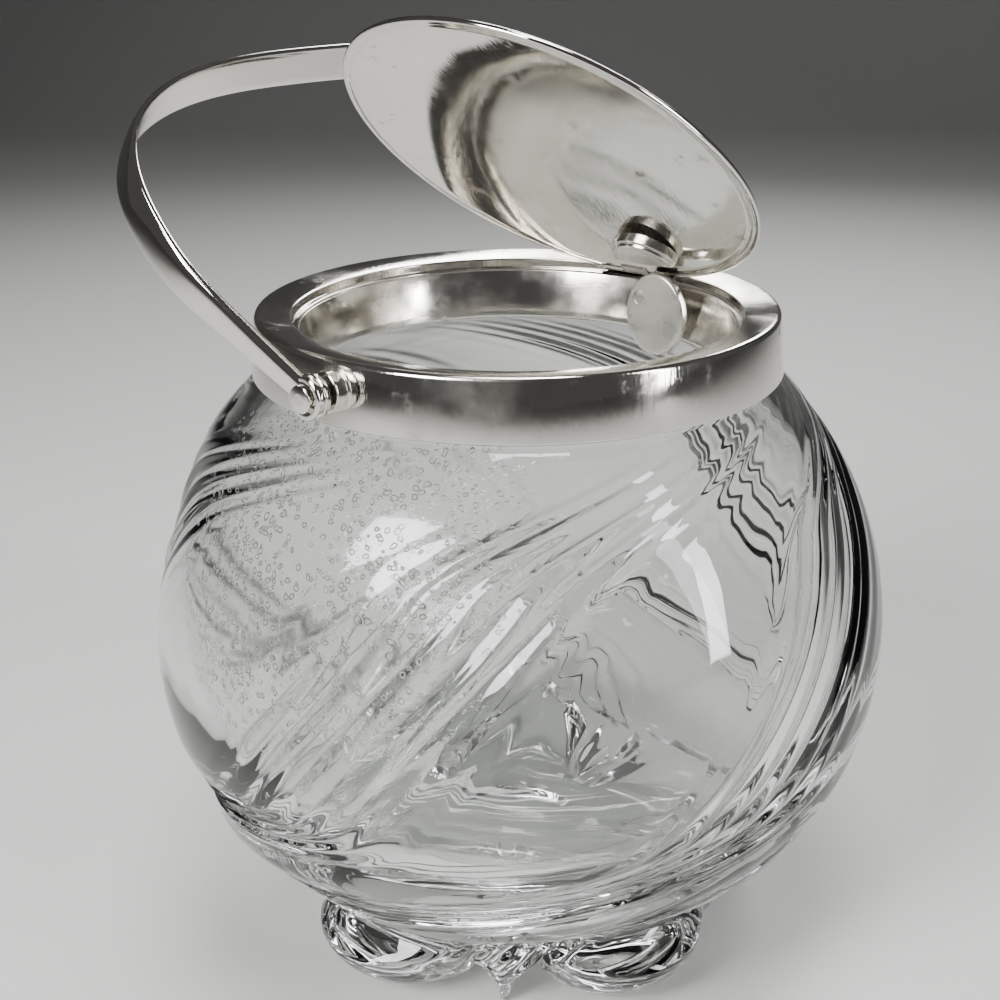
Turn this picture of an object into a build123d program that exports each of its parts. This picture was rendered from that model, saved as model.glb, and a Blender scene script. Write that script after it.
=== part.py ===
"""Globular glass sugar bowl with a silver collar, a hinged lid and a swing handle.

The handle's rear eyelet turns a spindle through the collar, and an eccentric disc on its inner end
carries the lid up as the handle goes down. Millimetres, +Z up. The origin is the centre of the base on
the plane the feet stand on, the lid hinge and the spindle are at +Y, and the handle lies back to -X.
"""

import os
from math import cos, radians, sin, sqrt, tan

from build123d import *

os.makedirs("parts", exist_ok=True)

# Overall sizes
top_z = 108.0            # highest circle of the collar
belly_r = 60.0
belly_z = 55.6           # widest circle of the belly
band_top_r = 41.0        # outside of the collar at its top

# Collar, measured down from its top and in from its outside
collar_h = 9.6
band_flare = 1.0         # the band's foot is this much wider than its top
band_t = 1.3
rim_w = 5.6              # the dished top, from the outside to the lid's seat
rim_dip = 0.9            # the top falls this much over that width
rim_t = 1.1
rim_round = 0.8
shoulder_h = 1.0         # the rim's own height above the band
ledge_drop = 2.3         # the lid's seat, below the top
ledge_w = 1.0
ledge_t = 0.7
liner_t = 1.6
liner_foot_drop = 10.6
lip_r = 0.7              # rolled lower edge of the liner

# Glass bowl
wall = 4.7
bottom_z = 12.6          # inside bottom
shoulder_in = 1.6        # the glass meets the collar this far inside its foot
neck_h = 3.0
neck_t = 2.7
neck_gap = 0.5           # between the neck and the liner
neck_bend = 1.4          # from the shoulder down to where the inside starts to widen
base_z = 6.0             # the belly stands in the foot from here down
belly_foot_r = 31.0      # the belly's radius there
base_r = 27.0
punt_r = 13.0
punt_h = 1.6
petal_count = 5
petal_turn = -20.0       # first petal's angle from +X
petal_reach = 42.0       # from the axis to a petal's tip
petal_len = 23.0
petal_w = 28.0
petal_h = 9.0
petal_round = 6.0
fin_reach = 35.0
fin_w = 8.0
fin_h = 11.0
fin_round = 2.5

# Handle pivots
pivot_drop = 4.3         # below the collar's top
pivot_turn = 3.12        # the pivots' line is turned this far from +Y about the front boss
boss_r = 3.1
boss_h = 2.6             # outer face of each boss, from the collar's top circle
washer_r = 2.1
washer_t = 0.8
pin_r = 1.25
run = 0.06               # radial running clearance
gap = 0.35               # clearance between pieces that pass each other
bush_r = 1.8

# Handle
lean = 52.0              # from upright, towards -X
bow_h = 60.6             # pivot line to the inside of the crown
bow_bend_h = 23.3
bow_spread = 6.3         # the bend stands this much farther out than the eyelets
bow_power = 2.83         # squareness of the crown
bow_t = 1.5
bow_root_w = 3.2
bow_crown_w = 7.5
eye_r = 2.85
eye_t = 2.4
head_r = 1.7
head_t = 0.45

# Eccentric disc on the spindle's inner end
disc_half_w = 5.85       # oval, its long way near upright when the handle lies back
disc_half_h = 7.05
disc_throw = 4.25
disc_t = 1.6
disc_hub_r = 2.4
dimple = 0.2             # the spindle's end lies this far below the disc's face

# Lid
lid_open = 40.3
lid_play = 0.4           # between the lid and the recess round it
lid_edge_w = 1.2
lid_edge_t = 0.95
lid_rise = 3.2
lid_t = 0.8
hinge_drop = 1.0         # below the collar's top
hinge_in = 0.8           # from the recess round the lid to the hinge line
knuckle_r = 0.95
hinge_pin_r = 0.42
knuckle_half = 2.6       # half the length of the lid's knuckle
knuckle_play = 0.3
bracket_half = 6.6       # half the length of the collar's bracket
bracket_depth = 2.2      # from the hinge line back into the rim
lug_r = 5.6
lug_x = 5.2              # the lug stands on the side where the disc's top comes
lug_s = 7.0              # hinge to the lug's centre
lug_h = 2.4
lug_flange_t = 0.7
lug_flange_w = 0.6

# What follows from them
pivot_z = top_z - pivot_drop
shoulder_z = top_z - shoulder_h
rim_in_z = top_z - rim_dip
glass_top_z = top_z - collar_h
ledge_z = top_z - ledge_drop
liner_foot_z = top_z - liner_foot_drop
hinge_z = top_z - hinge_drop
lid_seat_z = hinge_z - lid_edge_t
neck_top_z = glass_top_z + neck_h
inner_top_z = glass_top_z - neck_bend
band_foot_r = band_top_r + band_flare
rim_in_r = band_top_r - rim_w
ledge_in_r = rim_in_r - ledge_w
liner_in_r = ledge_in_r - liner_t
neck_in_r = ledge_in_r + neck_gap
neck_r = neck_in_r + neck_t
shoulder_r = band_foot_r - shoulder_in
lid_r = rim_in_r - lid_play
hinge_y = rim_in_r - hinge_in
notch_y = hinge_y + bracket_depth
boss_y = band_top_r + boss_h
wall_y = band_top_r - band_t / 3
washer_y = boss_y + washer_t
bow_root_y = washer_y + gap
bow_bend_y = bow_root_y + bow_spread
eye_y = bow_root_y + eye_t
mid_x = boss_y * tan(radians(pivot_turn))
line_x = sin(radians(pivot_turn))
line_y = cos(radians(pivot_turn))
hub_reach = disc_hub_r + mid_x * line_y
hub_end_d = sqrt((liner_in_r - gap) ** 2 - hub_reach ** 2) - mid_x * line_x
bush_d = hub_end_d + gap
disc_reach = disc_throw * sin(radians(lean)) + disc_half_w + mid_x * line_y
disc_d = sqrt((liner_in_r - gap) ** 2 - disc_reach ** 2) - mid_x * line_x - disc_t
lug_cut_y = disc_d * line_y - line_x * (lug_x + lug_r) - gap - 0.2

# Planes on the pivots' line look out from the bowl, so distances on them run away from its middle.
line = Vector(line_x, line_y, 0)
square = Vector(line_y, -line_x, 0)
front = Plane(origin=(mid_x, 0, pivot_z), x_dir=square, z_dir=-line)
rear = Plane(origin=(mid_x, 0, pivot_z), x_dir=square, z_dir=line)


def oval(radius, end_r, end_z, height):
    """Radius at a height of the oval that is widest at belly_z and passes through one end circle."""
    share = (1 - (end_r / radius) ** 2) * ((height - belly_z) / (end_z - belly_z)) ** 2
    return radius * sqrt(1 - share)


def crown(half_width, rise, angle):
    """One point of the handle's crown, a squared arch over the bend line."""
    c = cos(radians(angle))
    s = sin(radians(angle))
    y = half_width * abs(c) ** (2 / bow_power) * (1 if c > 0 else -1)
    return (y, bow_bend_h + rise * abs(s) ** (2 / bow_power))


# The lobed foot: wide petals between narrow pinched fins, all cut flat by the plane they stand on.
with BuildPart() as petals:
    with BuildSketch():
        with PolarLocations(petal_reach - petal_len / 2, petal_count, petal_turn):
            Ellipse(petal_len / 2, petal_w / 2)
    extrude(amount=petal_h)
    fillet(petals.edges().group_by(Axis.Z)[-1], petal_round)

with BuildPart() as fins:
    with BuildSketch():
        with PolarLocations(fin_reach / 2, petal_count, petal_turn + 180 / petal_count):
            SlotOverall(fin_reach, fin_w)
    extrude(amount=fin_h)
    fillet(fins.edges().group_by(Axis.Z)[-1], fin_round)

below = [base_z + (belly_z - base_z) * t for t in (0, 0.12, 0.32, 0.65)]
above = [belly_z + (glass_top_z - belly_z) * t for t in (0, 0.43, 0.76, 1)]
outer_line = [(oval(belly_r, belly_foot_r, base_z, z), z) for z in below]
outer_line += [(oval(belly_r, shoulder_r, glass_top_z, z), z) for z in above]
cavity_r = belly_r - wall
down = [inner_top_z + (belly_z - inner_top_z) * t for t in (0, 0.12, 0.31, 0.65, 1)]
inner_line = [(oval(cavity_r, neck_in_r, inner_top_z, z), z) for z in down]
lower = [belly_z + (bottom_z - belly_z) * t for t in (0.36, 0.67, 0.87)]
inner_line += [(oval(cavity_r, 0, bottom_z, z), z) for z in lower]
inner_line += [(0, bottom_z)]

with BuildPart() as glass_bowl:
    with BuildSketch(Plane.XZ):
        with BuildLine():
            Polyline((0, 0), (base_r, 0), outer_line[0])
            Spline(*outer_line)
            Polyline(outer_line[-1], (neck_r, glass_top_z), (neck_r, neck_top_z),
                     (neck_in_r, neck_top_z), inner_line[0])
            Spline(*inner_line, tangents=((0.55, -0.83), (-1, 0)))
            Line(inner_line[-1], (0, 0))
        make_face()
    revolve(axis=Axis.Z)
    add(petals.part)
    add(fins.part)
    Cone(punt_r, punt_r / 2, punt_h, align=(Align.CENTER, Align.CENTER, Align.MIN), mode=Mode.SUBTRACT)
glass_bowl.part.label = "glass_bowl"

with BuildPart() as cement_ring:
    with BuildSketch(Plane.XZ):
        with BuildLine():
            Polyline((neck_r, glass_top_z), (shoulder_r, glass_top_z), (shoulder_r, neck_top_z - 1.2),
                     (shoulder_r - 1.2, neck_top_z), (neck_r, neck_top_z), close=True)
        make_face()
    revolve(axis=Axis.Z)
cement_ring.part.label = "cement_ring"

# The collar: a tapered band, a dished rim with a seat for the lid, and a tube down into the neck.
with BuildPart() as collar_band:
    with BuildSketch(Plane.XZ):
        with BuildLine():
            Polyline((band_foot_r - band_t, glass_top_z), (band_foot_r, glass_top_z),
                     (band_top_r, shoulder_z), (band_top_r - band_t, shoulder_z), close=True)
        make_face()
    revolve(axis=Axis.Z)
    with BuildSketch(front):
        Circle(pin_r)
    extrude(amount=boss_y, mode=Mode.SUBTRACT)
    with BuildSketch(rear):
        Circle(bush_r)
    extrude(amount=boss_y, mode=Mode.SUBTRACT)
collar_band.part.label = "collar_band"

with BuildPart() as collar_rim:
    with BuildSketch(Plane.XZ) as rim_section:
        with BuildLine():
            Polyline((band_top_r, shoulder_z), (band_top_r, top_z), (rim_in_r, rim_in_z),
                     (rim_in_r, ledge_z), (liner_in_r, ledge_z), (liner_in_r, ledge_z - ledge_t),
                     (rim_in_r + 0.9, ledge_z - ledge_t), (rim_in_r + 0.9, rim_in_z - rim_t),
                     (band_top_r - band_t - 0.3, shoulder_z), close=True)
        make_face()
        fillet(rim_section.vertices().sort_by(Axis.Y)[-1], rim_round)
    revolve(axis=Axis.Z)
    with Locations((0, notch_y, ledge_z + 1)):
        Box(2 * bracket_half, 8, 10, align=(Align.CENTER, Align.MAX, Align.CENTER), mode=Mode.SUBTRACT)
collar_rim.part.label = "collar_rim"

with BuildPart() as throat_liner:
    with BuildSketch(Plane.XZ):
        with BuildLine():
            Polyline((liner_in_r, liner_foot_z), (ledge_in_r, liner_foot_z), (ledge_in_r, ledge_z - ledge_t),
                     (liner_in_r, ledge_z - ledge_t), close=True)
        make_face()
        with Locations((ledge_in_r - lip_r, liner_foot_z)):
            Circle(lip_r)
    revolve(axis=Axis.Z)
    with BuildSketch(rear):
        Circle(bush_r)
    extrude(amount=boss_y, mode=Mode.SUBTRACT)
throat_liner.part.label = "throat_liner"

# The handle's pivots on the collar.
with BuildPart() as front_boss:
    with BuildSketch(front.offset(wall_y)):
        Circle(boss_r)
        Circle(pin_r, mode=Mode.SUBTRACT)
    extrude(amount=boss_y - wall_y)
    chamfer(front_boss.edges().filter_by(GeomType.CIRCLE).group_by(Axis.Y)[0].sort_by(SortBy.RADIUS)[-1], 0.35)
    add(collar_band.part, mode=Mode.SUBTRACT)
front_boss.part.label = "front_boss"

with BuildPart() as rear_boss:
    with BuildSketch(rear.offset(wall_y)):
        Circle(boss_r)
        Circle(bush_r, mode=Mode.SUBTRACT)
    extrude(amount=boss_y - wall_y)
    chamfer(rear_boss.edges().filter_by(GeomType.CIRCLE).group_by(Axis.Y)[-1].sort_by(SortBy.RADIUS)[-1], 0.35)
    add(collar_band.part, mode=Mode.SUBTRACT)
rear_boss.part.label = "rear_boss"

with BuildPart() as front_washer:
    with BuildSketch(front.offset(boss_y)):
        Circle(washer_r)
        Circle(pin_r, mode=Mode.SUBTRACT)
    extrude(amount=washer_y - boss_y)
front_washer.part.label = "front_washer"

# The bush lines the way through the collar and stands out as far as the other side's washer.
with BuildPart() as spindle_bush:
    with BuildSketch(rear.offset(bush_d)):
        Circle(bush_r)
        Circle(pin_r + run, mode=Mode.SUBTRACT)
    extrude(amount=washer_y - bush_d)
spindle_bush.part.label = "spindle_bush"

pin_in_y = band_top_r - band_t - 0.4
with BuildPart() as front_pin:
    with BuildSketch(front.offset(pin_in_y)):
        Circle(pin_r)
    extrude(amount=eye_y + gap - pin_in_y)
    with BuildSketch(front.offset(eye_y + gap)):
        Circle(head_r)
    extrude(amount=head_t)
    chamfer(front_pin.edges().filter_by(GeomType.CIRCLE).group_by(Axis.Y)[0], 0.15)
front_pin.part.label = "front_pin"

# Everything below turns with the handle: its planes lie back with it.
up = square * -sin(radians(lean)) + Vector(0, 0, cos(radians(lean)))
across = square * cos(radians(lean)) + Vector(0, 0, sin(radians(lean)))
bow_plane = Plane(origin=(mid_x, 0, pivot_z), x_dir=line, z_dir=across)
side_plane = Plane(origin=(mid_x, 0, pivot_z), x_dir=across, z_dir=-line)
angles = (0, 8, 20, 35, 52, 70, 90, 110, 128, 145, 160, 172, 180)
rise = bow_h - bow_bend_h
inside_arch = [crown(bow_bend_y, rise, a) for a in angles]
outside_arch = [crown(bow_bend_y + bow_t, rise + bow_t, a) for a in angles]

with BuildPart() as handle:
    with BuildSketch(bow_plane):
        with BuildLine():
            Spline(*outside_arch)
            Polyline(outside_arch[-1], (-bow_root_y - bow_t, 0), (-bow_root_y, 0), inside_arch[-1])
            Spline(*inside_arch)
            Polyline(inside_arch[0], (bow_root_y, 0), (bow_root_y + bow_t, 0), outside_arch[0])
        make_face()
    extrude(amount=bow_crown_w, both=True)
    with BuildSketch(side_plane.offset(-bow_bend_y - 10)):
        with BuildLine():
            top_h = bow_h + bow_t + 1
            Polyline((bow_root_w / 2, 0), (bow_crown_w / 2, bow_h * 0.78), (bow_crown_w / 2, top_h),
                     (-bow_crown_w / 2, top_h), (-bow_crown_w / 2, bow_h * 0.78), (-bow_root_w / 2, 0),
                     close=True)
        make_face()
    extrude(amount=2 * bow_bend_y + 20, mode=Mode.INTERSECT)
    for side in (front, rear):
        with BuildSketch(side.offset(bow_root_y)):
            Circle(eye_r)
        extrude(amount=eye_t)
    with BuildSketch(front.offset(bow_root_y)):
        Circle(pin_r + run)
    extrude(amount=eye_t, mode=Mode.SUBTRACT)
    with BuildSketch(rear.offset(bow_root_y)):
        Circle(pin_r)
    extrude(amount=eye_t, mode=Mode.SUBTRACT)
handle.part.label = "handle"

with BuildPart() as spindle:
    with BuildSketch(rear.offset(disc_d + dimple)):
        Circle(pin_r)
    extrude(amount=eye_y - disc_d - dimple)
    with BuildSketch(rear.offset(eye_y)):
        Circle(head_r)
    extrude(amount=head_t)
    chamfer(spindle.edges().filter_by(GeomType.CIRCLE).group_by(Axis.Y)[-1], 0.15)
spindle.part.label = "spindle"

disc_centre = (disc_throw * sin(radians(lean)), -disc_throw * cos(radians(lean)))
with BuildPart() as eccentric_disc:
    with BuildSketch(Plane(origin=rear.origin + line * disc_d, x_dir=square, z_dir=-line)):
        with Locations(disc_centre):
            Ellipse(disc_half_w, disc_half_h)
    extrude(amount=-disc_t)
    chamfer(eccentric_disc.edges().filter_by(GeomType.ELLIPSE), 0.25)
    with BuildSketch(rear.offset(disc_d + disc_t)):
        Circle(disc_hub_r)
    extrude(amount=hub_end_d - disc_d - disc_t)
    with BuildSketch(rear.offset(disc_d - 1)):
        Circle(pin_r)
    extrude(amount=6, mode=Mode.SUBTRACT)
eccentric_disc.part.label = "eccentric_disc"

# The lid is drawn shut, then every piece of it is turned up about its hinge.
with BuildPart() as lid_shut:
    with BuildSketch(Plane.XZ):
        with BuildLine():
            low = lid_seat_z + 0.1
            ThreePointArc((0, low + lid_rise), (lid_r / 2, low + lid_rise * 0.76), (lid_r - lid_edge_w, low))
            Line((lid_r - lid_edge_w, low), (lid_r - lid_edge_w, low + lid_t))
            ThreePointArc((lid_r - lid_edge_w, low + lid_t), (lid_r / 2, low + lid_t + lid_rise * 0.76),
                          (0, low + lid_t + lid_rise))
            Line((0, low + lid_t + lid_rise), (0, low + lid_rise))
        make_face()
    revolve(axis=Axis.Z)
    with Locations((0, hinge_y - knuckle_r - gap, hinge_z)):
        Box(2 * bracket_half + 2 * gap, 8, 12, align=(Align.CENTER, Align.MIN, Align.CENTER), mode=Mode.SUBTRACT)

with BuildPart() as lid_edge_shut:
    with BuildSketch(Plane.XZ) as edge_section:
        with Locations((lid_r - lid_edge_w / 2, hinge_z - lid_edge_t / 2)):
            Rectangle(lid_edge_w, lid_edge_t)
        chamfer(edge_section.vertices().group_by(Axis.X)[-1], 0.25)
    revolve(axis=Axis.Z)
    with Locations((0, hinge_y - knuckle_r - gap, hinge_z)):
        Box(2 * bracket_half + 2 * gap, 8, 12, align=(Align.CENTER, Align.MIN, Align.CENTER), mode=Mode.SUBTRACT)

hinge_line = Plane(origin=(-knuckle_half, hinge_y, hinge_z), x_dir=(0, 1, 0), z_dir=(1, 0, 0))
with BuildPart() as lid_knuckle_shut:
    with BuildSketch(hinge_line):
        Circle(knuckle_r)
        with Locations((-knuckle_r, -knuckle_r / 2)):
            Rectangle(2 * knuckle_r, knuckle_r, align=(Align.CENTER, Align.CENTER))
    extrude(amount=2 * knuckle_half)
    with BuildSketch(hinge_line):
        Circle(hinge_pin_r + run)
    extrude(amount=2 * knuckle_half, mode=Mode.SUBTRACT)
    add(lid_shut.part, mode=Mode.SUBTRACT)
    add(lid_edge_shut.part, mode=Mode.SUBTRACT)

lug_plane = Plane(origin=(lug_x, hinge_y - lug_s, lid_seat_z + lid_rise), x_dir=(1, 0, 0), z_dir=(0, 0, -1))
with BuildPart() as lug_shut:
    with BuildSketch(lug_plane):
        Circle(lug_r + lug_flange_w)
    extrude(amount=lid_rise + lug_flange_t)
    with BuildSketch(lug_plane):
        Circle(lug_r)
    extrude(amount=lid_rise + lug_h)
    fillet(lug_shut.edges().filter_by(GeomType.CIRCLE).group_by(Axis.Z)[0], 0.6)
    with Locations((lug_x, lug_cut_y, lid_seat_z)):
        Box(20, 20, 20, align=(Align.CENTER, Align.MIN, Align.CENTER), mode=Mode.SUBTRACT)
    with Locations((lug_x - lug_r, hinge_y - lug_s - 1.0, lid_seat_z - lug_h + 1.3)):
        Box(2.4, 1.2, 1.2, mode=Mode.SUBTRACT)
    with BuildSketch(Plane.XZ):
        with BuildLine():
            Polyline((0, low + lid_rise), (0, low + 20), (lid_r, low + 20), (lid_r, low), (lid_r - lid_edge_w, low))
            ThreePointArc((lid_r - lid_edge_w, low), (lid_r / 2, low + lid_rise * 0.76), (0, low + lid_rise))
        make_face()
    revolve(axis=Axis.Z, mode=Mode.SUBTRACT)

hinge_axis = Axis((0, hinge_y, hinge_z), (1, 0, 0))
lid = lid_shut.part.rotate(hinge_axis, -lid_open)
lid.label = "lid"
lid_edge = lid_edge_shut.part.rotate(hinge_axis, -lid_open)
lid_edge.label = "lid_edge"
lid_knuckle = lid_knuckle_shut.part.rotate(hinge_axis, -lid_open)
lid_knuckle.label = "lid_knuckle"
lid_lug = lug_shut.part.rotate(hinge_axis, -lid_open)
lid_lug.label = "lid_lug"

# The collar's half of the hinge: two knuckles on a plate let into the rim, and the pin through all three.
with BuildPart() as hinge_bracket:
    with BuildSketch(Plane(origin=(-bracket_half, hinge_y, hinge_z), x_dir=(0, 1, 0), z_dir=(1, 0, 0))):
        Circle(knuckle_r)
        with Locations((notch_y - hinge_y, 0)):
            Rectangle(notch_y - hinge_y, knuckle_r, align=(Align.MAX, Align.MAX))
    extrude(amount=2 * bracket_half)
    with Locations((0, hinge_y, hinge_z)):
        Box(2 * (knuckle_half + 0.3), 2 * (knuckle_r + gap), 8, mode=Mode.SUBTRACT)
    with BuildSketch(Plane(origin=(-bracket_half, hinge_y, hinge_z), x_dir=(0, 1, 0), z_dir=(1, 0, 0))):
        Circle(hinge_pin_r)
    extrude(amount=2 * bracket_half, mode=Mode.SUBTRACT)
hinge_bracket.part.label = "hinge_bracket"

with BuildPart() as hinge_pin:
    with BuildSketch(Plane(origin=(-bracket_half, hinge_y, hinge_z), x_dir=(0, 1, 0), z_dir=(1, 0, 0))):
        Circle(hinge_pin_r)
    extrude(amount=2 * bracket_half)
hinge_pin.part.label = "hinge_pin"

pieces = [glass_bowl, cement_ring, collar_band, collar_rim, throat_liner, front_boss, front_washer,
          front_pin, rear_boss, spindle_bush, hinge_bracket, hinge_pin, handle, spindle, eccentric_disc]
for piece in pieces:
    export_step(piece.part, f"parts/{piece.part.label}.step")
for turned in (lid, lid_edge, lid_knuckle, lid_lug):
    export_step(turned, f"parts/{turned.label}.step")
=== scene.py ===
"""Sugar bowl of swirled clear glass with a silver collar, a self-opening lid and a swing handle.

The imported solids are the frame. The visible pieces are surfaces worked out on grids around them, in metres,
at the frame's rest pose: handle lying back, lid up.
"""

import logging
from dataclasses import dataclass
from enum import Enum
from math import cos, pi, radians, sin

import bmesh
import bpy
import numpy as np
from mathutils import Matrix, Vector


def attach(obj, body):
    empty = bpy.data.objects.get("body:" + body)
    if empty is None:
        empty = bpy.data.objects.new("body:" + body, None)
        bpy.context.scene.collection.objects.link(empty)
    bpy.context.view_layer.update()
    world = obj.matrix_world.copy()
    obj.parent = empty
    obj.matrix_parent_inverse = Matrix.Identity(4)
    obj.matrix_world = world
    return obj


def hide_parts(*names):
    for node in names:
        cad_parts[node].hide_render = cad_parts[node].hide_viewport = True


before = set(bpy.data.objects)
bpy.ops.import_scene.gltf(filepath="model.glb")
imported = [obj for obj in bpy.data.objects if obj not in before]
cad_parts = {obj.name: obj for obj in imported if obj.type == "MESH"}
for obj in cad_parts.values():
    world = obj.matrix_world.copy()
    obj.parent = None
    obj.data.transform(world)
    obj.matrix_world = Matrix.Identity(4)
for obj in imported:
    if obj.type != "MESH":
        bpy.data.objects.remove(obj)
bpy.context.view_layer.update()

LOG = logging.getLogger("sugar_bowl")
MM = 0.001
MERGE = 1e-7                     # metres within which points are one
Array = np.ndarray


class Body(Enum):
    """The rigid bodies that pieces ride on."""

    BOWL = "bowl"
    HANDLE = "swing_handle"
    COVER = "cover"


# ---------------------------------------------------------------- sizes that pieces share, in millimetres

@dataclass(frozen=True)
class Layout:
    """Where the main pieces stand and what several share, in millimetres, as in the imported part."""

    top_z: float = 108.0
    collar_r: float = 41.0
    shoulder_z: float = 98.4
    pivot_z: float = 103.7
    lean: float = 52.0
    pivot_turn: float = 3.12     # degrees the pivots' line is turned from +Y about the front boss
    mid_x: float = 2.377         # where that line passes the bowl's middle
    lid_open: float = 40.3
    hinge_y: float = 34.6
    hinge_z: float = 107.0
    boss_y: float = 43.6         # a boss's outer face, along the pivots' line from its middle
    eye_y: float = 44.75         # an eyelet's inner face
    pin_r: float = 1.25
    pin_gap: float = 0.06        # between a pin and what turns on it
    pin_head_r: float = 2.0
    pin_head_t: float = 0.45

    def lid_turn(self) -> Matrix:
        """The turn that lifts a shut lid to its rest pose."""
        place = Vector((0, self.hinge_y, self.hinge_z)) * MM
        turn = Matrix.Rotation(-radians(self.lid_open), 4, "X")
        return Matrix.Translation(place) @ turn @ Matrix.Translation(-place)

    def pivot_frame(self) -> Matrix:
        """A frame with its zero at the middle of the pivots' line and its +Y along it to the rear pivot."""
        return Matrix.Translation(Vector((self.mid_x, 0, self.pivot_z)) * MM) @ Matrix.Rotation(
            -radians(self.pivot_turn), 4, "Z")

    def handle_turn(self) -> Matrix:
        """The turn that lays an upright handle back, its own zero in the pivot frame's."""
        return self.pivot_frame() @ Matrix.Rotation(-radians(self.lean), 4, "Y")


LAY = Layout()


# ---------------------------------------------------------------- surfaces

def smoothstep(low: float, high: float, x: Array) -> Array:
    """Zero below low, one above high and 3t^2 - 2t^3 between.

    Args:
        low, high: Ends of the ramp; low may be the greater.
        x: Values to map.

    Returns:
        The ramp's values.
    """
    t = np.clip((x - low) / (high - low), 0.0, 1.0)
    return t * t * (3.0 - 2.0 * t)


def rounded(corners: list[tuple[float, float, float]], closed: bool = True, steps: int = 6) -> Array:
    """A polygon with its corners turned to arcs.

    Each corner (x, y, r) starts r*tan(half turn) before the corner on one side and ends as far after it;
    the points between lie on the quadratic through both and the corner, close to an arc of radius r.

    Args:
        corners: Corner points with their rounding radius, in order.
        closed: Whether the last corner joins the first.
        steps: Points on each rounded corner.

    Returns:
        Points, shape (n, 2).
    """
    pts = np.array([c[:2] for c in corners], float)
    radii = [c[2] for c in corners]
    out = []
    n = len(pts)
    for i in range(n):
        p = pts[i]
        if radii[i] <= 0 or (not closed and i in (0, n - 1)):
            out.append(p[None])
            continue
        a = pts[i - 1] - p
        b = pts[(i + 1) % n] - p
        la, lb = np.linalg.norm(a), np.linalg.norm(b)
        a, b = a / la, b / lb
        half = np.arccos(np.clip(a @ b, -1, 1)) / 2
        reach = min(radii[i] / np.tan(half), 0.49 * la, 0.49 * lb)
        t = np.linspace(0, 1, steps)[:, None]
        weight = 2 * t * (1 - t) * np.sin(half)
        plain = (1 - t) ** 2 + t ** 2
        curve = (1 - t) ** 2 * (p + a * reach) + weight * p + t ** 2 * (p + b * reach)
        out.append(curve / (plain + weight))
    return np.vstack(out)


def grid_piece(name: str, points: Array, wrap_rows: bool, wrap_cols: bool, sharp: float = 35.0,
               place: Matrix | None = None) -> bpy.types.Object:
    """A mesh of one grid of points, its poles closed and its faces outward.

    Quads join neighbours in the grid; points that fall together at a pole are merged.

    Args:
        name: The object's name.
        points: Shape (rows, columns, 3), in millimetres.
        wrap_rows: Whether the last row joins the first.
        wrap_cols: Whether the last column joins the first.
        sharp: Edges that turn more than this many degrees are creases.
        place: A turn and shift applied to the points, in metres.

    Returns:
        The new object, its place in its vertices.
    """
    rows, cols = points.shape[:2]
    index = np.arange(rows * cols).reshape(rows, cols)
    if wrap_rows:
        index = np.vstack([index, index[:1]])
    if wrap_cols:
        index = np.hstack([index, index[:, :1]])
    corners = [index[:-1, :-1], index[:-1, 1:], index[1:, 1:], index[1:, :-1]]
    quads = np.stack(corners, axis=-1).reshape(-1, 4)
    verts = points.reshape(-1, 3) * MM
    if place is not None:
        m = np.array(place)
        verts = verts @ m[:3, :3].T + m[:3, 3]
    mesh = bpy.data.meshes.new(name)
    mesh.from_pydata(verts.tolist(), [], quads.tolist())
    bm = bmesh.new()
    bm.from_mesh(mesh)
    bmesh.ops.remove_doubles(bm, verts=bm.verts, dist=MERGE)
    bmesh.ops.dissolve_degenerate(bm, edges=bm.edges, dist=MERGE / 10)
    bmesh.ops.recalc_face_normals(bm, faces=bm.faces)
    bm.to_mesh(mesh)
    bm.free()
    mesh.polygons.foreach_set("use_smooth", np.ones(len(mesh.polygons), bool))
    mesh.set_sharp_from_angle(angle=radians(sharp))
    mesh.update()
    obj = bpy.data.objects.new(name, mesh)
    bpy.context.scene.collection.objects.link(obj)
    return obj


def lathe_points(profile: Array, segments: int) -> Array:
    """Points of a profile (r, z) carried round +Z.

    Args:
        profile: Radius and height of each point, shape (n, 2).
        segments: Steps round the circle.

    Returns:
        Shape (n, segments, 3).
    """
    a = np.linspace(0, 2 * pi, segments, endpoint=False)
    r, z = profile[:, :1], profile[:, 1:]
    return np.stack([r * np.cos(a), r * np.sin(a), np.broadcast_to(z, (len(profile), segments))], axis=-1)


def lathe(name: str, profile: Array, segments: int = 192, ring: bool = True, sharp: float = 35.0,
          place: Matrix | None = None) -> bpy.types.Object:
    """A turned piece: its profile carried round +Z, then put in place.

    Args:
        name: The object's name.
        profile: Radius and height of each point; a solid one starts and ends at radius zero.
        segments: Steps round the circle.
        ring: Whether the profile is a closed loop.
        sharp: Edges that turn more than this many degrees are creases.
        place: A turn and shift applied to the points, in metres.

    Returns:
        The new object.
    """
    return grid_piece(name, lathe_points(profile, segments), ring, True, sharp, place)


def outward(side: int) -> Matrix:
    """A frame whose +Z looks out along the pivots' line, to the rear pivot for 1 and the front one for -1."""
    return LAY.pivot_frame() @ Matrix.Rotation(radians(-90 * side), 4, "X")


# ---------------------------------------------------------------- finishes

def linear(hex_colour: str) -> tuple[float, float, float, float]:
    """The linear form of an sRGB colour.

    Args:
        hex_colour: Six hex digits, such as "E8E4DC".

    Returns:
        Red, green, blue and an alpha of one.
    """
    c = np.array([int(hex_colour[i:i + 2], 16) for i in (0, 2, 4)]) / 255.0
    c = np.where(c <= 0.04045, c / 12.92, ((c + 0.055) / 1.055) ** 2.4)
    return float(c[0]), float(c[1]), float(c[2]), 1.0


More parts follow.
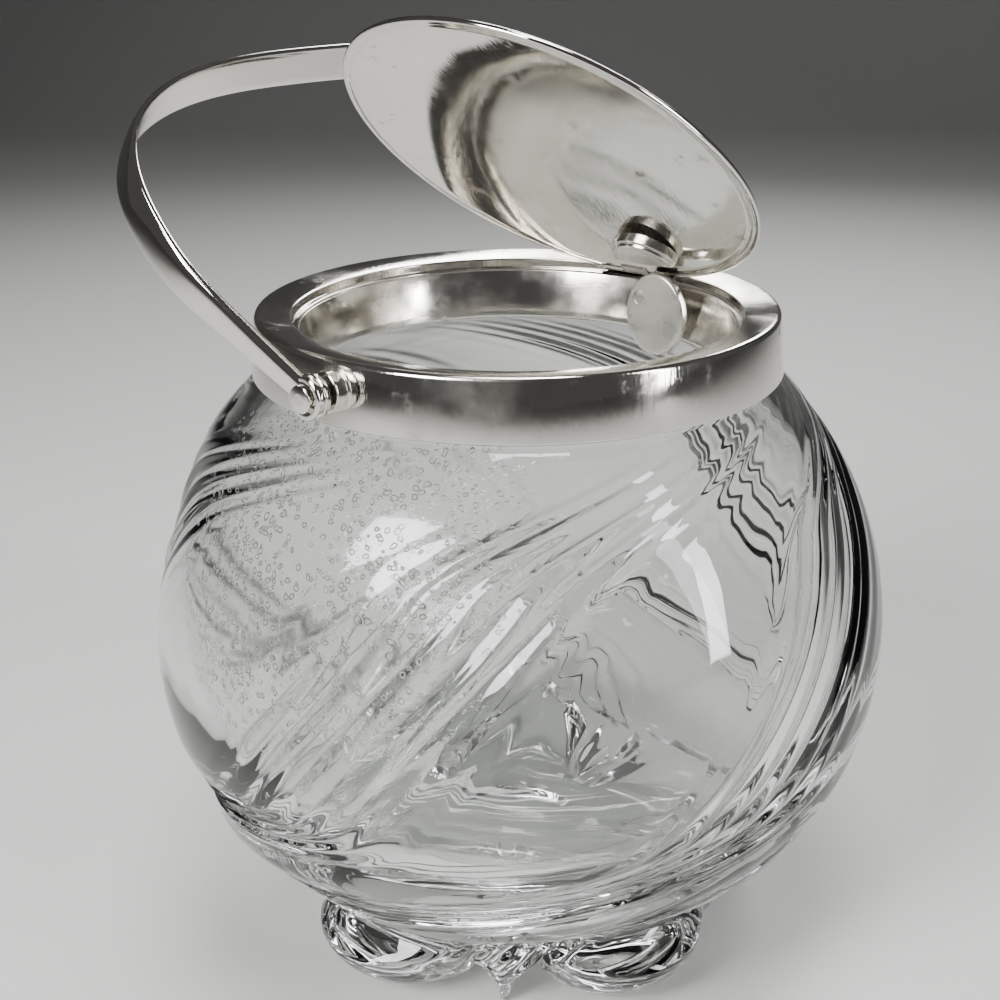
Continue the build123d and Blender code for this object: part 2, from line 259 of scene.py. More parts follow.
def node(tree: bpy.types.NodeTree, kind: str, settings: dict | None = None, **inputs) -> bpy.types.Node:
    """Adds a node, sets its settings and fills or links its inputs.

    Args:
        tree: The node tree.
        kind: The node's class, such as "ShaderNodeBump".
        settings: Properties of the node itself.
        inputs: Input name (spaces as underscores, or iN for the Nth) to a value or another node's output.

    Returns:
        The node.
    """
    made = tree.nodes.new(kind)
    for key, value in (settings or {}).items():
        setattr(made, key, value)
    for key, value in inputs.items():
        numbered = key[0] == "i" and key[1:].isdigit()
        socket = made.inputs[int(key[1:]) if numbered else key.replace("_", " ")]
        if isinstance(value, bpy.types.NodeSocket):
            tree.links.new(value, socket)
        else:
            socket.default_value = value
    return made


def start_material(name: str) -> tuple[bpy.types.Material, bpy.types.NodeTree, bpy.types.NodeSocket]:
    """A new material with an empty tree.

    Args:
        name: The material's name.

    Returns:
        The material, its tree and its Object coordinates.
    """
    made = bpy.data.materials.new(name)
    made.use_nodes = True
    tree = made.node_tree
    tree.nodes.clear()
    return made, tree, node(tree, "ShaderNodeTexCoord").outputs["Object"]


def end_material(tree: bpy.types.NodeTree, **inputs) -> None:
    """Closes a material's tree.

    Args:
        tree: The node tree.
        inputs: The principled shader's inputs, as node() takes them.
    """
    shader = node(tree, "ShaderNodeBsdfPrincipled", None, **inputs)
    node(tree, "ShaderNodeOutputMaterial", None, Surface=shader.outputs[0])


# Settings of nodes that are used more than once.
EASE = {"interpolation_type": "SMOOTHSTEP"}
TIMES = {"operation": "MULTIPLY"}


@dataclass(frozen=True)
class Silver:
    """Sterling silver, raised or turned and then buffed.

    A buffed surface mirrors what is round it, softened by hairlines from polishing cloths and use, with
    yellowish grey sulphide left in spots and where a cloth can't reach.
    """

    name: str
    colour: str = "EAE7E0"
    tarnish_colour: str = "7D7263"
    roughness: float = 0.09
    hairlines: float = 0.05      # bump height of the hairlines, mm
    hairline_gap: float = 0.55   # mm between hairlines; real ones are finer than shows here
    tarnish: float = 0.25        # how much of it, 0 to 1
    tarnish_dull: float = 0.28   # roughness that full tarnish adds
    dents: float = 0.02          # mm, the soft waves of hand-worked sheet
    stretch: tuple[float, float, float] = (1.0, 1.0, 0.12)
    spots: float = 180.0         # tarnish spots to the metre, one in 5.6 mm
    clouds: float = 45.0         # tarnish clouds, one in 22 mm
    rubbing: float = 90.0        # patches rubbed by handling, one in 11 mm
    waves: float = 55.0          # waves of the sheet, one in 18 mm

    def marks(self, tree: bpy.types.NodeTree, at: bpy.types.NodeSocket) -> bpy.types.NodeSocket:
        """Tarnish from its spots and its clouds, whichever is the stronger.

        Args:
            tree: The node tree.
            at: The piece's Object coordinates.

        Returns:
            How much there is, 0 to 1.
        """
        spots = node(tree, "ShaderNodeTexNoise", None, Vector=at, Scale=self.spots, Detail=4.0, Roughness=0.6)
        clouds = node(tree, "ShaderNodeTexNoise", None, Vector=at, Scale=self.clouds, Detail=3.0)
        spotted = node(tree, "ShaderNodeMapRange", EASE, Value=spots.outputs["Fac"],
                       From_Min=0.64 - 0.12 * self.tarnish, From_Max=0.78)
        clouded = node(tree, "ShaderNodeMapRange", EASE, Value=clouds.outputs["Fac"], From_Min=0.46,
                       From_Max=0.74, To_Max=self.tarnish)
        both = node(tree, "ShaderNodeMath", {"operation": "MAXIMUM"}, i0=spotted.outputs[0],
                    i1=clouded.outputs[0])
        return both.outputs[0]

    def surface(self, tree: bpy.types.NodeTree, at: bpy.types.NodeSocket) -> bpy.types.NodeSocket:
        """Soft waves of the sheet, with hairlines over them.

        Args:
            tree: The node tree.
            at: The piece's Object coordinates.

        Returns:
            The surface's normal.
        """
        waves = node(tree, "ShaderNodeTexNoise", None, Vector=at, Scale=self.waves, Detail=1.0)
        soft = node(tree, "ShaderNodeBump", None, Height=waves.outputs["Fac"],
                    Distance=self.dents * MM * 8, Strength=1.0)
        drawn = node(tree, "ShaderNodeMapping", None, Vector=at, Scale=self.stretch, Rotation=(0.4, 0.2, 0.7))
        lines = node(tree, "ShaderNodeTexNoise", None, Vector=drawn.outputs[0],
                     Scale=1.0 / (self.hairline_gap * MM), Detail=2.0, Roughness=0.7)
        bump = node(tree, "ShaderNodeBump", None, Height=lines.outputs["Fac"],
                    Distance=self.hairlines * MM * 0.25, Strength=0.5, Normal=soft.outputs[0])
        return bump.outputs[0]

    def build(self) -> bpy.types.Material:
        """Makes the material.

        Returns:
            The new material.
        """
        made, tree, at = start_material(self.name)
        marks = self.marks(tree, at)
        colour = node(tree, "ShaderNodeMix", {"data_type": "RGBA"}, i0=marks, i6=linear(self.colour),
                      i7=linear(self.tarnish_colour))
        rubbing = node(tree, "ShaderNodeTexNoise", None, Vector=at, Scale=self.rubbing, Detail=5.0,
                       Roughness=0.65)
        rubbed = node(tree, "ShaderNodeMapRange", EASE, Value=rubbing.outputs["Fac"], From_Min=0.35,
                      From_Max=0.75, To_Min=self.roughness * 0.6, To_Max=self.roughness * 1.7)
        dull = node(tree, "ShaderNodeMath", {"operation": "MULTIPLY_ADD"}, i0=marks, i1=self.tarnish_dull,
                    i2=rubbed.outputs[0])
        end_material(tree, Base_Color=colour.outputs[2], Metallic=1.0, Roughness=dull.outputs[0],
                     Normal=self.surface(tree, at))
        return made


@dataclass(frozen=True)
class BlownGlass:
    """Thick clear soda-lime glass, mould blown and fire polished.

    It is almost colourless with a breath of grey-green in its thickness, glossy all over, and on one
    shoulder it carries a film of dried drops: small pale rings a millimetre or two across.
    """

    name: str
    tint: str = "F6F8F6"
    ior: float = 1.51
    ring_size: float = 1.35      # mm between ring marks
    film_centre: tuple[float, float, float] = (6.0, -50.0, 84.0)
    film_reach: float = 36.0     # mm
    film_haze: float = 0.07      # roughness that the film adds
    gloss: float = 0.012         # roughness of clean glass
    ring_rough: float = 0.45     # roughness on a ring
    patches: float = 120.0       # patches of rings to the metre, one in 8 mm
    cords: float = 38.0          # cords of uneven glass, one in 26 mm

    def film(self, tree: bpy.types.NodeTree, at: bpy.types.NodeSocket) -> bpy.types.NodeSocket:
        """Where the film lies.

        Args:
            tree: The node tree.
            at: The piece's Object coordinates.

        Returns:
            Its strength: one round its middle, nothing at film_reach.
        """
        away = node(tree, "ShaderNodeVectorMath", {"operation": "DISTANCE"}, i0=at,
                    i1=tuple(c * MM for c in self.film_centre))
        film = node(tree, "ShaderNodeMapRange", EASE, Value=away.outputs["Value"],
                    From_Min=self.film_reach * MM, From_Max=self.film_reach * MM * 0.45)
        return film.outputs[0]

    def rings(self, tree: bpy.types.NodeTree, at: bpy.types.NodeSocket) -> bpy.types.NodeSocket:
        """Dried rings in patches: a band of distances from the points of a shaken cell pattern.

        Args:
            tree: The node tree.
            at: The piece's Object coordinates.

        Returns:
            One on a ring, nothing off it.
        """
        shake = node(tree, "ShaderNodeTexNoise", None, Vector=at, Scale=400.0, Detail=2.0)
        moved = node(tree, "ShaderNodeMix", {"data_type": "VECTOR"}, i0=0.0012, i4=at,
                     i5=shake.outputs["Color"])
        cells = node(tree, "ShaderNodeTexVoronoi", {"feature": "F1"}, Vector=moved.outputs[1],
                     Scale=1.0 / (self.ring_size * MM), Randomness=1.0)
        away = cells.outputs["Distance"]
        inner = node(tree, "ShaderNodeMapRange", EASE, Value=away, From_Min=0.20, From_Max=0.27)
        outer = node(tree, "ShaderNodeMapRange", EASE, Value=away, From_Min=0.36, From_Max=0.29)
        ring = node(tree, "ShaderNodeMath", TIMES, i0=inner.outputs[0], i1=outer.outputs[0])
        patches = node(tree, "ShaderNodeTexNoise", None, Vector=at, Scale=self.patches, Detail=3.0)
        patchy = node(tree, "ShaderNodeMapRange", EASE, Value=patches.outputs["Fac"], From_Min=0.36,
                      From_Max=0.50)
        return node(tree, "ShaderNodeMath", TIMES, i0=ring.outputs[0], i1=patchy.outputs[0]).outputs[0]

    def build(self) -> bpy.types.Material:
        """Makes the material.

        Returns:
            The new material.
        """
        made, tree, at = start_material(self.name)
        film = self.film(tree, at)
        marks = node(tree, "ShaderNodeMath", TIMES, i0=self.rings(tree, at), i1=film).outputs[0]
        haze = node(tree, "ShaderNodeMath", TIMES, i0=film, i1=self.film_haze)
        dried = node(tree, "ShaderNodeMapRange", EASE, Value=marks, To_Min=self.gloss, To_Max=self.ring_rough)
        rough = node(tree, "ShaderNodeMath", {"operation": "ADD"}, i0=haze.outputs[0], i1=dried.outputs[0])
        cords = node(tree, "ShaderNodeTexNoise", None, Vector=at, Scale=self.cords, Detail=2.0, Roughness=0.5)
        soft = node(tree, "ShaderNodeBump", None, Height=cords.outputs["Fac"], Distance=0.45 * MM,
                    Strength=0.6)
        bump = node(tree, "ShaderNodeBump", None, Height=marks, Distance=0.10 * MM, Strength=0.8,
                    Normal=soft.outputs[0])
        end_material(tree, Base_Color=linear(self.tint), Roughness=rough.outputs[0], IOR=self.ior,
                     Transmission_Weight=1.0, Normal=bump.outputs[0])
        return made


@dataclass(frozen=True)
class Plaster:
    """Plaster of Paris poured between the collar and the neck: chalky off-white, a little stained."""

    name: str
    colour: str = "D9D3C4"
    stain: str = "A2937A"
    grain: float = 900.0         # grains to the metre, one in 1.1 mm; real ones are too fine to show
    damp: float = 120.0          # stains, one in 8 mm

    def build(self) -> bpy.types.Material:
        """Makes the material.

        Returns:
            The new material.
        """
        made, tree, at = start_material(self.name)
        grain = node(tree, "ShaderNodeTexNoise", None, Vector=at, Scale=self.grain, Detail=5.0)
        damp = node(tree, "ShaderNodeTexNoise", None, Vector=at, Scale=self.damp, Detail=4.0)
        stained = node(tree, "ShaderNodeMapRange", EASE, Value=damp.outputs["Fac"], From_Min=0.45,
                       From_Max=0.75)
        colour = node(tree, "ShaderNodeMix", {"data_type": "RGBA"}, i0=stained.outputs[0],
                      i6=linear(self.colour), i7=linear(self.stain))
        bump = node(tree, "ShaderNodeBump", None, Height=grain.outputs["Fac"], Distance=0.2 * MM,
                    Strength=0.7)
        end_material(tree, Base_Color=colour.outputs[2], Roughness=0.9, Normal=bump.outputs[0])
        return made


SHEET = Silver("polished_sterling_silver_sheet", tarnish=0.5, hairlines=0.16, roughness=0.10)
LID_SHEET = Silver("mirror_buffed_sterling_silver", roughness=0.055, hairlines=0.04, tarnish=0.10,
                   dents=0.012, stretch=(1.0, 0.15, 0.15))
TUBE = Silver("brushed_sterling_silver_tube", roughness=0.16, hairline_gap=0.4, tarnish=0.35,
              stretch=(0.2, 0.2, 1.0))
CAST = Silver("cast_and_filed_silver", roughness=0.15, tarnish=0.6, hairlines=0.04, dents=0.004)
DRAWN = Silver("drawn_and_turned_silver_wire", roughness=0.12, tarnish=0.4, hairlines=0.03, dents=0.004)
STRAP = Silver("rolled_sterling_silver_strap", roughness=0.08, hairlines=0.06, tarnish=0.12,
               stretch=(0.3, 1.0, 0.3))
DULLED = Silver("handled_sterling_silver_disc", colour="E2DFD8", roughness=0.22, hairlines=0.10, tarnish=0.30)
# Near-black silver for the front washer and the rear bush's end, which sit in the narrow gap between a boss
# and its eyelet: the dark colour is partly blackened silver and partly painted shade of that gap.
DARK_AND_GAP_SHADE = Silver("blackened_silver_and_painted_gap_shade", colour="3A3733", tarnish_colour="1E1B18", roughness=0.42,
              tarnish=0.6)
GLASS = BlownGlass("mould_blown_soda_lime_glass")
CEMENT = Plaster("plaster_of_paris_bedding")
MADE: dict[str, bpy.types.Material] = {}

Finish = Silver | BlownGlass | Plaster


def dress(obj: bpy.types.Object, finish: Finish) -> bpy.types.Object:
    """Gives a piece one finish in place of any it has.

    Args:
        obj: The piece.
        finish: Its finish, built once and shared.

    Returns:
        The same piece.
    """
    if finish.name not in MADE:
        MADE[finish.name] = finish.build()
    obj.data.materials.clear()
    obj.data.materials.append(MADE[finish.name])
    return obj


def fit(obj: bpy.types.Object, body: Body, finish: Finish,
        nodes: tuple[str, ...] = ()) -> bpy.types.Object:
    """Dresses a new piece, ties it to its body and names what it stands for.

    Args:
        obj: The piece.
        body: The body it rides on.
        finish: Its finish.
        nodes: CAD nodes it replaces.

    Returns:
        The same piece.
    """
    dress(obj, finish)
    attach(obj, body.value)
    if nodes:
        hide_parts(*nodes)
    LOG.info("%s on %s, %d faces, %s", obj.name, body.value, len(obj.data.polygons), finish.name)
    return obj


# ---------------------------------------------------------------- the bowl

@dataclass
class GlassBowl:
    """The swirled glass body on its lobed foot, one closed shell of outside and inside. Millimetres."""

    belly_r: float = 60.0
    belly_z: float = 55.6
    shoulder_r: float = 40.4
    base_z: float = 6.0
    base_belly_r: float = 31.0
    wall: float = 4.7
    bottom_z: float = 12.6
    inner_top_z: float = 97.0
    neck_in_r: float = 34.9
    neck_r: float = 37.6
    neck_top_z: float = 101.4
    panels: int = 5
    crowd: float = 0.58          # how much closer together columns are in a rib bunch
    columns: int = 72            # to one panel
    first_petal: float = -20.0   # degrees round from +X
    swirl: float = 46.5          # degrees for each radian of the constant slope's run
    sweep: float = 72.0          # degrees more, where the ribs lie down above the foot
    sweep_z: tuple[float, float] = (19.0, 43.0)
    flare: float = 34.0          # degrees more, where they lie down below the collar
    flare_z: float = 80.0
    bunch: float = 15.0          # degrees, a rib bunch's half width
    bunch_gap: float = 3.0       # degrees, the half width of the smooth band in its middle
    pitch: float = 6.2           # degrees between crests
    second_pitch: float = 0.61   # the weaker wave's, over pitch
    wander: float = 0.7          # degrees that the crests sway
    crest_h: float = 0.72
    trough_h: float = 1.0
    swell_h: float = 0.5
    sunk: float = 0.1
    inner_relief: float = 0.12   # how much of the relief shows inside
    petal_reach: float = 43.0
    petal_share: float = 0.72
    petal_z: float = 9.0
    petal_half_h: float = 9.3
    fin_reach: float = 36.0
    fin_half: float = 2.2        # degrees at the tip
    fin_flare: float = 0.85      # degrees more for each millimetre up
    fin_grow: float = 5.0        # how much further out a fin is at fin_top
    fin_top: float = 12.0
    fin_nose: float = 1.5
    core_r: float = 27.0
    core_flare: float = 4.0
    waist: float = 4.5
    waist_z: tuple[float, float] = (27.0, 11.0)
    foot_z: float = 16.0
    tuck_z: float = 8.0
    rib_z: float = 45.0          # rows are closer together below this
    edge: float = 0.9            # rounding of the foot's lower edge and the neck's lip
    punt_r: float = 13.0         # the hollow under the base, then its rings: share of punt_r and height
    punt: tuple[tuple[float, float], ...] = ((0.0, 1.6), (0.25, 1.55), (0.5, 1.4), (0.8, 0.9))

    def oval(self, radius: float, end_r: float, end_z: float, z: Array) -> Array:
        """Radius at z of the oval widest at belly_z that passes through (end_r, end_z).

        The ellipse r = radius * sqrt(1 - k (z - belly_z)^2) has k set by the end circle.

        Args:
            radius: Radius at belly_z.
            end_r, end_z: The end circle's radius and height.
            z: Heights.

        Returns:
            A radius for each height.
        """
        share = (1 - (end_r / radius) ** 2) * ((z - self.belly_z) / (end_z - self.belly_z)) ** 2
        return radius * np.sqrt(np.clip(1 - share, 0, 1))

    def belly(self, z: Array) -> Array:
        """Plain outside: one oval above the widest circle and one below it.

        Args:
            z: Heights.

        Returns:
            A radius for each height.
        """
        above = self.oval(self.belly_r, self.shoulder_r, LAY.shoulder_z, z)
        below = self.oval(self.belly_r, self.base_belly_r, self.base_z, z)
        return np.where(z > self.belly_z, above, below)

    def panel_angles(self) -> Array:
        """Angles from a rib bunch's middle, in degrees: half a panel by (1 - crowd) s + crowd s^3."""
        s = (np.arange(self.columns) + 0.5) / self.columns * 2 - 1
        return 180 / self.panels * ((1 - self.crowd) * s + self.crowd * s ** 3)

    def twist(self, z: Array) -> Array:
        """How far the swirl has turned at each height.

        A rib that keeps one slope to the upright turns with the integral of ds / r along the outline. Above
        the foot it lies down for a while and goes round by sweep more, and below the collar by flare.

        Args:
            z: Heights.

        Returns:
            Degrees for each height.
        """
        line = np.linspace(self.base_z, LAY.shoulder_z, 600)
        r = self.belly(line)
        step = np.hypot(np.diff(line), np.diff(r)) * 2 / (r[1:] + r[:-1])
        run = np.concatenate([[0.0], np.cumsum(step)])
        run = np.interp(z, line, run) - np.interp(self.petal_z, line, run)
        low = self.sweep * smoothstep(*self.sweep_z, z)
        high = self.flare * (np.clip(z - self.flare_z, 0, None) / 18.0) ** 2
        return self.swirl * np.clip(run, 0, None) + low + high

    def relief(self, d: Array, z: Array) -> Array:
        """Height of the blown relief over the plain oval, in millimetres.

        Each bunch is a shallow trough e^-(d/w)^2 with crests inside it: cos(2 pi d / p), the narrower
        1 - 2 |sin(pi d / p)| and a weaker wave of another pitch, so that no two are alike. They leave a
        smooth band in the bunch's middle. Each panel between is a low swelling. All grows from nothing at
        the shoulder to full depth lower down, and spreads below the collar.

        Args:
            d: Degrees from the middle of the nearest rib bunch.
            z: Heights.

        Returns:
            A height for each place.
        """
        deep = smoothstep(LAY.shoulder_z - 0.1, self.flare_z, z) * (0.8 + 0.2 * smoothstep(60.0, 25.0, z))
        spread = 1.0 + 0.35 * smoothstep(62.0, 95.0, z)
        width = self.bunch * spread
        near = np.exp(-(np.abs(d) / width) ** 3) * (1 - 0.75 * np.exp(-(d / self.bunch_gap) ** 2))
        sway = self.wander * np.sin(0.07 * z)
        pitch = self.pitch * spread
        turn = pi * (d + sway) / pitch + 0.4
        crests = 0.4 * np.cos(2 * turn) + 0.5 * (1 - 2 * np.sqrt(np.sin(turn) ** 2 + 0.02))
        crests = crests + 0.2 * np.cos(2 * pi * (d - sway) / (self.second_pitch * pitch))
        trough = np.exp(-(d / width) ** 2)
        swell = np.cos(pi * d * self.panels / 180)
        low = self.trough_h * trough + self.swell_h * swell + self.sunk
        return deep * (self.crest_h * crests * near - low)

    def foot(self, d: Array, z: Array) -> Array:
        """Outside radius in the foot: five round petals with a pinched fin between each two.

        With q the distance from a fin over half a panel, a petal is the round lobe sqrt(1 - ((1 - q) / w)^2),
        an ellipse from top to bottom, and a fin the blunt bell e^-(d / b)^3, b widening upwards. Both are
        added to the core, which is waisted under the belly and meets it above.

        Args:
            d: Degrees from the middle of the nearest rib bunch.
            z: Heights.

        Returns:
            A radius for each place.
        """
        q = np.abs(d) * self.panels / 180
        lobe = np.sqrt(np.clip(1 - ((1 - q) / self.petal_share) ** 2, 0, 1)) ** 0.9
        fin = np.exp(-(np.abs(d) / (self.fin_half + self.fin_flare * np.clip(z, 0, 10))) ** 3)
        waist = self.waist * smoothstep(*self.waist_z, z)
        plain = self.belly(np.maximum(z, self.base_z)) - waist
        core = np.where(z > self.base_z, plain, self.core_r - waist + self.core_flare * z / self.base_z)
        tuck = smoothstep(self.foot_z, self.tuck_z, z)
        ball = np.sqrt(np.clip(1 - ((z - self.petal_z) / self.petal_half_h) ** 2, 0, 1))
        petal = self.core_r + (self.petal_reach - self.core_r) * ball
        nose = self.fin_nose * smoothstep(self.fin_nose, 0.0, z)
        blade = self.fin_reach + self.fin_grow * smoothstep(0.0, self.fin_top, z) - nose
        r = core + np.clip(petal - core, 0, None) * lobe + np.clip(blade - core, 0, None) * fin
        return r * tuck + plain * (1 - tuck)

    def points(self) -> Array:
        """The whole shell: under the base, foot, belly, neck and inside, each row one turn round.

        Returns:
            Shape (rows, columns, 3), from the pole under the base to the pole of the inside.
        """
        d = np.tile(self.panel_angles(), self.panels)[None]
        middle = np.repeat(np.arange(self.panels), self.columns) * 360 / self.panels
        middle = middle[None] + self.first_petal + 180 / self.panels
        flat = np.ones_like(d)
        punt = np.array(self.punt)
        t = np.linspace(0, 1, 9)[:, None]
        under_r = np.vstack([self.punt_r * punt[:, :1] * flat,
                             self.punt_r + (self.foot(d, np.zeros((1, 1))) - self.punt_r) * t])
        under_z = np.vstack([punt[:, 1:] * flat, 0.0 * t * flat])
        up = np.concatenate([self.edge * (1 - np.cos(np.linspace(0.2, pi / 2, 5))),
                             np.linspace(1.3, self.foot_z, 26),
                             np.linspace(self.foot_z, self.rib_z, 84)[1:],
                             np.linspace(self.rib_z, LAY.shoulder_z, 76)[1:]])[:, None]
        side_r = self.foot(d, up) + self.relief(d, up)
        lip = rounded([(self.shoulder_r, LAY.shoulder_z, 0), (self.neck_r, LAY.shoulder_z, 0.5),
                       (self.neck_r, self.neck_top_z, self.edge),
                       (self.neck_in_r, self.neck_top_z, self.edge),
                       (self.neck_in_r, self.inner_top_z, 0)], closed=False, steps=4)[1:]
        high = self.inner_top_z - self.belly_z
        low = self.belly_z - self.bottom_z
        down = np.concatenate([self.inner_top_z - high * (1 - np.cos(np.linspace(0.08, pi / 2, 22))),
                               self.belly_z - low * np.sin(np.linspace(0.08, pi / 2, 20))])[:, None]
        cavity = self.belly_r - self.wall
        inner_r = np.where(down > self.belly_z, self.oval(cavity, self.neck_in_r, self.inner_top_z, down),
                           self.oval(cavity, 0.0, self.bottom_z, down))
        fade = smoothstep(self.bottom_z, 30.0, down)
        inner_r = inner_r + self.inner_relief * self.relief(d, down) * fade
        inner_r[-1] = 0.0
        r = np.vstack([under_r, side_r, lip[:, :1] * flat, inner_r])
        z = np.vstack([under_z, up * flat, lip[:, 1:] * flat, down * flat])
        a = np.radians(middle + d + self.twist(z))
        return np.stack([r * np.cos(a), r * np.sin(a), z], axis=-1)

    def build(self) -> None:
        """Makes the glass and its bedding ring."""
        glass = grid_piece("swirled_glass_bowl", self.points(), False, True, sharp=60.0)
        fit(glass, Body.BOWL, GLASS, ("glass_bowl",))
        dress(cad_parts["cement_ring"], CEMENT)


# ---------------------------------------------------------------- the collar

@dataclass
class Collar:
    """Silver mount on the neck: a tapered band turned over into a dished rim, and the tube inside it."""

    foot_r: float = 42.0
    top_r: float = LAY.collar_r
    sheet: float = 1.3
    rim_in_r: float = 35.4
    rim_in_z: float = 107.1
    ledge_z: float = 105.7
    ledge_in_r: float = 34.3
    ledge_t: float = 0.7
    tube_foot_z: float = 97.4
    tube_foot_r: float = 32.9
    notch_half: float = 6.6
    notch_y: float = 36.8
    segments: int = 360

    def notched(self, points: Array) -> Array:
        """Cuts the hinge's seat: within notch_half of the middle the rim starts at notch_y.

        Args:
            points: The mount's points.

        Returns:
            The same points, those in the seat moved out to notch_y.
        """
        x, y, z = points[..., 0], points[..., 1], points[..., 2]
        inside = (np.abs(x) < self.notch_half) & (y > 0) & (y < self.notch_y) & (z > self.ledge_z - 1.2)
        return np.stack([x, np.where(inside, self.notch_y, y), z], axis=-1)

    def build(self) -> None:
        """Makes the outer mount and the tube."""
        hem = self.rim_in_r + 0.9
        band = rounded([(self.foot_r, LAY.shoulder_z, 0.35), (self.top_r + 0.05, LAY.top_z, 0.85),
                        (self.rim_in_r, self.rim_in_z, 0.3), (self.rim_in_r, self.ledge_z, 0.12),
                        (self.ledge_in_r, self.ledge_z, 0.2),
                        (self.ledge_in_r, self.ledge_z - self.ledge_t, 0),
                        (hem, self.ledge_z - self.ledge_t, 0), (hem, self.rim_in_z - 1.1, 0),
                        (self.top_r - self.sheet, LAY.top_z - 1.2, 0),
                        (self.foot_r - self.sheet, LAY.shoulder_z, 0.2)])
        points = self.notched(lathe_points(band, self.segments))
        collar = grid_piece("silver_collar", points, True, True, sharp=40.0)
        fit(collar, Body.BOWL, SHEET, ("collar_band", "collar_rim"))
        back = self.ledge_in_r + 0.1
        tube = rounded([(self.ledge_in_r - 0.05, self.ledge_z - 0.3, 0.2),
                        (self.tube_foot_r, self.tube_foot_z + 0.9, 2.0),
                        (self.tube_foot_r - 0.15, self.tube_foot_z - 0.45, 0.5),
                        (self.tube_foot_r + 1.3, self.tube_foot_z - 0.7, 0.6),
                        (back, self.tube_foot_z + 1.0, 0.8), (back, self.ledge_z - 0.75, 0)])
        throat = lathe("throat_tube", tube, self.segments)
        fit(throat, Body.BOWL, TUBE, ("throat_liner",))


@dataclass
class Pivots:
    """Both bosses, the front washer and pin and the rear bush, turned on the pivots' line."""

    boss_r: float = 3.2
    boss_in: float = 40.7
    boss_root: float = 0.6       # how far a boss reaches into the collar
    washer_r: float = 2.1
    washer_out: float = 44.4
    pin_in: float = 39.4
    head_in: float = 47.5
    head_edge: float = 0.12
    head_flat_r: float = 0.9
    bush_r: float = 1.8
    bush_in: float = 32.32

    def boss(self, side: str, sign: int, bore: float) -> None:
        """One boss: a flange on the collar, a groove and a post with the bore through it.

        Args:
            side: "front" or "rear".
            sign: -1 for the front, 1 for the rear.
            bore: The bore's radius.
        """
        flange, post = self.boss_in + 0.75, self.boss_in + 1.0
        profile = rounded([(bore, self.boss_in - self.boss_root, 0),
                           (self.boss_r + 0.3, self.boss_in - self.boss_root, 0),
                           (self.boss_r + 0.2, flange, 0.2), (self.boss_r - 0.25, flange + 0.05, 0.1),
                           (self.boss_r - 0.2, post, 0.1), (self.boss_r - 0.1, LAY.boss_y, 0.25),
                           (bore, LAY.boss_y, 0.05)])
        piece = lathe(f"{side}_pivot_boss", profile, 96, place=outward(sign))
        fit(piece, Body.BOWL, CAST, (f"{side}_boss",))

    def build(self) -> None:
        """Makes both sides."""
        self.boss("front", -1, LAY.pin_r)
        self.boss("rear", 1, self.bush_r)
        front = outward(-1)
        washer = rounded([(LAY.pin_r, LAY.boss_y, 0), (self.washer_r, LAY.boss_y, 0.1),
                          (self.washer_r, self.washer_out, 0.15), (LAY.pin_r, self.washer_out, 0)])
        # The washer's near-black colour is partly painted shade of the gap between the boss and the eyelet.
        fit(lathe("front_pivot_washer", washer, 72, place=front), Body.BOWL, DARK_AND_GAP_SHADE,
            ("front_washer",))
        head = self.head_in + LAY.pin_head_t
        pin = rounded([(0, self.pin_in, 0), (LAY.pin_r, self.pin_in, 0), (LAY.pin_r, self.head_in, 0.05),
                       (LAY.pin_head_r, self.head_in, 0.12), (LAY.pin_head_r, head - self.head_edge, 0.2),
                       (self.head_flat_r, head, 0.4), (0, head, 0)], closed=False)
        fit(lathe("front_pivot_pin", pin, 72, ring=False, place=front), Body.BOWL, DRAWN,
            ("front_pin",))
        bore = LAY.pin_r + LAY.pin_gap
        bush = rounded([(bore, self.bush_in, 0.1), (self.bush_r, self.bush_in, 0.2),
                        (self.bush_r, self.washer_out, 0.15), (bore, self.washer_out, 0.1)])
        # The bush's end shows in the gap between the rear boss and its eyelet; its near-black colour is
        # partly painted shade of that gap.
        fit(lathe("spindle_bushing", bush, 72, place=outward(1)), Body.BOWL, DARK_AND_GAP_SHADE,
            ("spindle_bush",))


# ---------------------------------------------------------------- the swing handle

